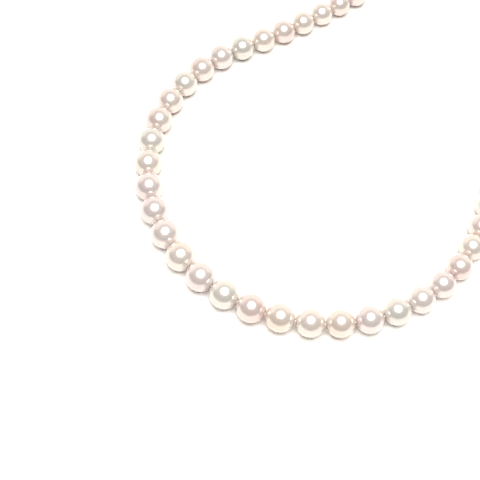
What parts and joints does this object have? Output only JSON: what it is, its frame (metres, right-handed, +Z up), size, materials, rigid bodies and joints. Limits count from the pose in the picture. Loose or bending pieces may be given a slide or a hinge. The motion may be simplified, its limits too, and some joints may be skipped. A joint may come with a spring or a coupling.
{
  "type": "pearl necklace",
  "caption": "Graduated strand of white pearls, knotted on silk, lying in an open loop, with a gold hook clasp drawn apart at the back.",
  "frame": {"origin": "centre of the laid necklace's outline, on the surface it lies on", "axes": "+Z up out of that surface, +Y from the front of the loop towards the back (the longer side of its outline), +X to the right seen from the front"},
  "size_m": [0.1382, 0.1496, 0.0091],
  "materials": {
    "pearl_rose": "polished",
    "pearl_cream": "polished",
    "pearl_silver": "polished",
    "pearl_gold": "polished",
    "pearl_green": "polished",
    "silk": "matte",
    "gold": "polished",
    "gimp": "gloss"
  },
  "bodies": {
    "pearl_01": {"pearl_01": "pearl_cream", "left_gimp_loop": "gimp"},
    "pearl_02": {"pearl_02": "pearl_rose"},
    "pearl_03": {"pearl_03": "pearl_silver"},
    "pearl_04": {"pearl_04": "pearl_green"},
    "pearl_05": {"pearl_05": "pearl_cream"},
    "pearl_06": {"pearl_06": "pearl_rose"},
    "pearl_07": {"pearl_07": "pearl_gold"},
    "pearl_08": {"pearl_08": "pearl_silver"},
    "pearl_09": {"pearl_09": "pearl_rose"},
    "pearl_10": {"pearl_10": "pearl_cream"},
    "pearl_11": {"pearl_11": "pearl_cream"},
    "pearl_12": {"pearl_12": "pearl_rose"},
    "pearl_13": {"pearl_13": "pearl_cream"},
    "pearl_14": {"pearl_14": "pearl_green"},
    "pearl_15": {"pearl_15": "pearl_silver"},
    "pearl_16": {"pearl_16": "pearl_rose"},
    "pearl_17": {"pearl_17": "pearl_green"},
    "pearl_18": {"pearl_18": "pearl_rose"},
    "pearl_19": {"pearl_19": "pearl_rose"},
    "pearl_20": {"pearl_20": "pearl_green"},
    "pearl_21": {"pearl_21": "pearl_cream"},
    "pearl_22": {"pearl_22": "pearl_silver"},
    "pearl_23": {"pearl_23": "pearl_silver"},
    "pearl_24": {"pearl_24": "pearl_silver"},
    "pearl_25": {"pearl_25": "pearl_cream", "silk_thread": "silk"},
    "pearl_26": {"pearl_26": "pearl_silver"},
    "pearl_27": {"pearl_27": "pearl_green"},
    "pearl_28": {"pearl_28": "pearl_rose"},
    "pearl_29": {"pearl_29": "pearl_gold"},
    "pearl_30": {"pearl_30": "pearl_cream"},
    "pearl_31": {"pearl_31": "pearl_gold"},
    "pearl_32": {"pearl_32": "pearl_silver"},
    "pearl_33": {"pearl_33": "pearl_green"},
    "pearl_34": {"pearl_34": "pearl_silver"},
    "pearl_35": {"pearl_35": "pearl_silver"},
    "pearl_36": {"pearl_36": "pearl_rose"},
    "pearl_37": {"pearl_37": "pearl_cream"},
    "pearl_38": {"pearl_38": "pearl_rose"},
    "pearl_39": {"pearl_39": "pearl_cream"},
    "pearl_40": {"pearl_40": "pearl_green"},
    "pearl_41": {"pearl_41": "pearl_silver"},
    "pearl_42": {"pearl_42": "pearl_rose"},
    "pearl_43": {"pearl_43": "pearl_cream"},
    "pearl_44": {"pearl_44": "pearl_gold"},
    "pearl_45": {"pearl_45": "pearl_silver"},
    "pearl_46": {"pearl_46": "pearl_rose"},
    "pearl_47": {"pearl_47": "pearl_green"},
    "pearl_48": {"pearl_48": "pearl_cream"},
    "pearl_49": {"pearl_49": "pearl_silver", "right_gimp_loop": "gimp"},
    "left_jump_ring": {"left_jump_ring": "gold"},
    "right_jump_ring": {"right_jump_ring": "gold"},
    "clasp_case": {"clasp_case": "gold", "clasp_mouth_plate": "gold", "clasp_eye": "gold"},
    "clasp_hook": {"hook_cap": "gold", "hook_blade": "gold"},
    "spring_leaf": {"hook_spring_leaf": "gold"}
  },
  "joints": [
    {"name": "left_knot_01_bend", "type": "hinge", "parent": "pearl_25", "child": "pearl_24", "pos_m": [-0.05623, -0.04515, 0.00453], "axis": [0, 0, 1], "range_deg": [0, 21], "deforming": ["silk_thread"]},
    {"name": "left_knot_02_lift", "type": "hinge", "parent": "pearl_24", "child": "pearl_23", "pos_m": [-0.06043, -0.03708, 0.00447], "axis": [0.9212, 0.3891, 0], "range_deg": [0, 10], "deforming": ["silk_thread"]},
    {"name": "left_knot_03_bend", "type": "hinge", "parent": "pearl_23", "child": "pearl_22", "pos_m": [-0.06326, -0.02853, 0.00443], "axis": [0, 0, 1], "range_deg": [0, 21], "deforming": ["silk_thread"]},
    {"name": "left_knot_04_lift", "type": "hinge", "parent": "pearl_22", "child": "pearl_21", "pos_m": [-0.06467, -0.01975, 0.00438], "axis": [0.9969, 0.0785, 0], "range_deg": [0, 10], "deforming": ["silk_thread"]},
    {"name": "left_knot_05_bend", "type": "hinge", "parent": "pearl_21", "child": "pearl_20", "pos_m": [-0.06465, -0.01095, 0.00432], "axis": [0, 0, 1], "range_deg": [0, 21], "deforming": ["silk_thread"]},
    {"name": "left_knot_06_lift", "type": "hinge", "parent": "pearl_20", "child": "pearl_19", "pos_m": [-0.06324, -0.00236, 0.00428], "axis": [0.9707, -0.2402, 0], "range_deg": [0, 10], "deforming": ["silk_thread"]},
    {"name": "left_knot_07_bend", "type": "hinge", "parent": "pearl_19", "child": "pearl_18", "pos_m": [-0.06051, 0.0058, 0.00422], "axis": [0, 0, 1], "range_deg": [0, 21], "deforming": ["silk_thread"]},
    {"name": "left_knot_08_lift", "type": "hinge", "parent": "pearl_18", "child": "pearl_17", "pos_m": [-0.05656, 0.01332, 0.00417], "axis": [0.8453, -0.5344, 0], "range_deg": [0, 10], "deforming": ["silk_thread"]},
    {"name": "left_knot_09_bend", "type": "hinge", "parent": "pearl_17", "child": "pearl_16", "pos_m": [-0.05152, 0.02004, 0.00413], "axis": [0, 0, 1], "range_deg": [0, 21], "deforming": ["silk_thread"]},
    {"name": "left_knot_10_lift", "type": "hinge", "parent": "pearl_16", "child": "pearl_15", "pos_m": [-0.04554, 0.02579, 0.00407], "axis": [0.6334, -0.7738, 0], "range_deg": [0, 10], "deforming": ["silk_thread"]},
    {"name": "left_knot_11_bend", "type": "hinge", "parent": "pearl_15", "child": "pearl_14", "pos_m": [-0.0388, 0.03046, 0.00402], "axis": [0, 0, 1], "range_deg": [0, 21], "deforming": ["silk_thread"]},
    {"name": "left_knot_12_lift", "type": "hinge", "parent": "pearl_14", "child": "pearl_13", "pos_m": [-0.03149, 0.03395, 0.00398], "axis": [0.4462, -0.8949, 0], "range_deg": [0, 10], "deforming": ["silk_thread"]},
    {"name": "left_knot_13_bend", "type": "hinge", "parent": "pearl_13", "child": "pearl_12", "pos_m": [-0.02439, 0.03764, 0.00392], "axis": [0, 0, 1], "range_deg": [0, 10], "deforming": ["silk_thread"]},
    {"name": "left_knot_14_lift", "type": "hinge", "parent": "pearl_12", "child": "pearl_11", "pos_m": [-0.01752, 0.04153, 0.00387], "axis": [0.5075, -0.8616, 0], "range_deg": [0, 10], "deforming": ["silk_thread"]},
    {"name": "left_knot_15_bend", "type": "hinge", "parent": "pearl_11", "child": "pearl_10", "pos_m": [-0.01086, 0.04561, 0.00382], "axis": [0, 0, 1], "range_deg": [0, 10], "deforming": ["silk_thread"]},
    {"name": "left_knot_16_lift", "type": "hinge", "parent": "pearl_10", "child": "pearl_09", "pos_m": [-0.00444, 0.04986, 0.00378], "axis": [0.5664, -0.8241, 0], "range_deg": [0, 10], "deforming": ["silk_thread"]},
    {"name": "left_knot_17_bend", "type": "hinge", "parent": "pearl_09", "child": "pearl_08", "pos_m": [0.00174, 0.05427, 0.00373], "axis": [0, 0, 1], "range_deg": [0, 10], "deforming": ["silk_thread"]},
    {"name": "left_knot_18_lift", "type": "hinge", "parent": "pearl_08", "child": "pearl_07", "pos_m": [0.00769, 0.05884, 0.00367], "axis": [0.6225, -0.7826, 0], "range_deg": [0, 10], "deforming": ["silk_thread"]},
    {"name": "left_knot_19_bend", "type": "hinge", "parent": "pearl_07", "child": "pearl_06", "pos_m": [0.0134, 0.06355, 0.00363], "axis": [0, 0, 1], "range_deg": [0, 21], "deforming": ["silk_thread"]},
    {"name": "left_knot_20_lift", "type": "hinge", "parent": "pearl_06", "child": "pearl_05", "pos_m": [0.01971, 0.06722, 0.00358], "axis": [0.4313, -0.9022, 0], "range_deg": [0, 10], "deforming": ["silk_thread"]},
    {"name": "left_knot_21_bend", "type": "hinge", "parent": "pearl_05", "child": "pearl_04", "pos_m": [0.02644, 0.06978, 0.00352], "axis": [0, 0, 1], "range_deg": [0, 21], "deforming": ["silk_thread"]},
    {"name": "left_knot_22_lift", "type": "hinge", "parent": "pearl_04", "child": "pearl_03", "pos_m": [0.03339, 0.07121, 0.00347], "axis": [0.121, -0.9927, 0], "range_deg": [0, 10], "deforming": ["silk_thread"]},
    {"name": "left_knot_23_bend", "type": "hinge", "parent": "pearl_03", "child": "pearl_02", "pos_m": [0.04039, 0.07149, 0.00343], "axis": [0, 0, 1], "range_deg": [0, 21], "deforming": ["silk_thread"]},
    {"name": "left_knot_24_lift", "type": "hinge", "parent": "pearl_02", "child": "pearl_01", "pos_m": [0.04724, 0.07065, 0.00337], "axis": [-0.2019, -0.9794, 0], "range_deg": [0, 10], "deforming": ["silk_thread"]},
    {"name": "left_ring_swing", "type": "hinge", "parent": "pearl_01", "child": "left_jump_ring", "pos_m": [0.05443, 0.06855, 0.00335], "axis": [0, 0, 1], "range_deg": [-8, 28]},
    {"name": "clasp_case_lift", "type": "hinge", "parent": "left_jump_ring", "child": "clasp_case", "pos_m": [0.05669, 0.06657, 0.00335], "axis": [-0.9157, -0.4019, 0], "range_deg": [0, 60]},
    {"name": "right_knot_01_bend", "type": "hinge", "parent": "pearl_25", "child": "pearl_26", "pos_m": [-0.05073, -0.05253, 0.00453], "axis": [0, 0, -1], "range_deg": [0, 22], "deforming": ["silk_thread"]},
    {"name": "right_knot_02_lift", "type": "hinge", "parent": "pearl_26", "child": "pearl_27", "pos_m": [-0.04416, -0.05883, 0.00447], "axis": [-0.63, -0.7766, 0], "range_deg": [0, 10], "deforming": ["silk_thread"]},
    {"name": "right_knot_03_bend", "type": "hinge", "parent": "pearl_27", "child": "pearl_28", "pos_m": [-0.03673, -0.0639, 0.00443], "axis": [0, 0, -1], "range_deg": [0, 22], "deforming": ["silk_thread"]},
    {"name": "right_knot_04_lift", "type": "hinge", "parent": "pearl_28", "child": "pearl_29", "pos_m": [-0.02865, -0.06763, 0.00438], "axis": [-0.3428, -0.9394, 0], "range_deg": [0, 10], "deforming": ["silk_thread"]},
    {"name": "right_knot_05_bend", "type": "hinge", "parent": "pearl_29", "child": "pearl_30", "pos_m": [-0.02016, -0.06995, 0.00432], "axis": [0, 0, -1], "range_deg": [0, 22], "deforming": ["silk_thread"]},
    {"name": "right_knot_06_lift", "type": "hinge", "parent": "pearl_30", "child": "pearl_31", "pos_m": [-0.01151, -0.07083, 0.00428], "axis": [-0.0183, -0.9998, 0], "range_deg": [0, 10], "deforming": ["silk_thread"]},
    {"name": "right_knot_07_bend", "type": "hinge", "parent": "pearl_31", "child": "pearl_32", "pos_m": [-0.00292, -0.07028, 0.00422], "axis": [0, 0, -1], "range_deg": [0, 22], "deforming": ["silk_thread"]},
    {"name": "right_knot_08_lift", "type": "hinge", "parent": "pearl_32", "child": "pearl_33", "pos_m": [0.00535, -0.06834, 0.00417], "axis": [0.3082, -0.9513, 0], "range_deg": [0, 10], "deforming": ["silk_thread"]},
    {"name": "right_knot_09_bend", "type": "hinge", "parent": "pearl_33", "child": "pearl_34", "pos_m": [0.0131, -0.06509, 0.00413], "axis": [0, 0, -1], "range_deg": [0, 22], "deforming": ["silk_thread"]},
    {"name": "right_knot_10_lift", "type": "hinge", "parent": "pearl_34", "child": "pearl_35", "pos_m": [0.02012, -0.06067, 0.00407], "axis": [0.6011, -0.7992, 0], "range_deg": [0, 10], "deforming": ["silk_thread"]},
    {"name": "right_knot_11_bend", "type": "hinge", "parent": "pearl_35", "child": "pearl_36", "pos_m": [0.02625, -0.05522, 0.00402], "axis": [0, 0, -1], "range_deg": [0, 22], "deforming": ["silk_thread"]},
    {"name": "right_knot_12_lift", "type": "hinge", "parent": "pearl_36", "child": "pearl_37", "pos_m": [0.03132, -0.0489, 0.00398], "axis": [0.8285, -0.5599, 0], "range_deg": [0, 10], "deforming": ["silk_thread"]},
    {"name": "right_knot_13_bend", "type": "hinge", "parent": "pearl_37", "child": "pearl_38", "pos_m": [0.03524, -0.04193, 0.00392], "axis": [0, 0, -1], "range_deg": [0, 16], "deforming": ["silk_thread"]},
    {"name": "right_knot_14_lift", "type": "hinge", "parent": "pearl_38", "child": "pearl_39", "pos_m": [0.03856, -0.03476, 0.00387], "axis": [0.9225, -0.3859, 0], "range_deg": [0, 10], "deforming": ["silk_thread"]},
    {"name": "right_knot_15_bend", "type": "hinge", "parent": "pearl_39", "child": "pearl_40", "pos_m": [0.04129, -0.02746, 0.00382], "axis": [0, 0, -1], "range_deg": [0, 16], "deforming": ["silk_thread"]},
    {"name": "right_knot_16_lift", "type": "hinge", "parent": "pearl_40", "child": "pearl_41", "pos_m": [0.04343, -0.02006, 0.00378], "axis": [0.9581, -0.2865, 0], "range_deg": [0, 10], "deforming": ["silk_thread"]},
    {"name": "right_knot_17_bend", "type": "hinge", "parent": "pearl_41", "child": "pearl_42", "pos_m": [0.04568, -0.0128, 0.00373], "axis": [0, 0, -1], "range_deg": [0, 11], "deforming": ["silk_thread"]},
    {"name": "right_knot_18_lift", "type": "hinge", "parent": "pearl_42", "child": "pearl_43", "pos_m": [0.04803, -0.00568, 0.00367], "axis": [0.9464, -0.3231, 0], "range_deg": [0, 10], "deforming": ["silk_thread"]},
    {"name": "right_knot_19_bend", "type": "hinge", "parent": "pearl_43", "child": "pearl_44", "pos_m": [0.05049, 0.0013, 0.00363], "axis": [0, 0, -1], "range_deg": [0, 11], "deforming": ["silk_thread"]},
    {"name": "right_knot_20_lift", "type": "hinge", "parent": "pearl_44", "child": "pearl_45", "pos_m": [0.05305, 0.00814, 0.00358], "axis": [0.9333, -0.3592, 0], "range_deg": [0, 10], "deforming": ["silk_thread"]},
    {"name": "right_knot_21_bend", "type": "hinge", "parent": "pearl_45", "child": "pearl_46", "pos_m": [0.0557, 0.01484, 0.00352], "axis": [0, 0, -1], "range_deg": [0, 11], "deforming": ["silk_thread"]},
    {"name": "right_knot_22_lift", "type": "hinge", "parent": "pearl_46", "child": "pearl_47", "pos_m": [0.05844, 0.02139, 0.00347], "axis": [0.9188, -0.3947, 0], "range_deg": [0, 10], "deforming": ["silk_thread"]},
    {"name": "right_knot_23_bend", "type": "hinge", "parent": "pearl_47", "child": "pearl_48", "pos_m": [0.06126, 0.02779, 0.00343], "axis": [0, 0, -1], "range_deg": [0, 11], "deforming": ["silk_thread"]},
    {"name": "right_knot_24_lift", "type": "hinge", "parent": "pearl_48", "child": "pearl_49", "pos_m": [0.06417, 0.03405, 0.00337], "axis": [0.903, -0.4297, 0], "range_deg": [0, 10], "deforming": ["silk_thread"]},
    {"name": "right_ring_swing", "type": "hinge", "parent": "pearl_49", "child": "right_jump_ring", "pos_m": [0.06746, 0.04079, 0.00335], "axis": [0, 0, -1], "range_deg": [-8, 28]},
    {"name": "clasp_hook_lift", "type": "hinge", "parent": "right_jump_ring", "child": "clasp_hook", "pos_m": [0.06751, 0.04379, 0.00335], "axis": [0.9135, 0.4067, 0], "range_deg": [0, 60]},
    {"name": "hook_leaf_flex", "type": "hinge", "parent": "clasp_hook", "child": "spring_leaf", "pos_m": [0.0629, 0.05415, 0.00335], "axis": [-0.9135, -0.4067, 0], "range_deg": [-7, 0], "stiffness_Nm_per_rad": 0.004}
  ]
}
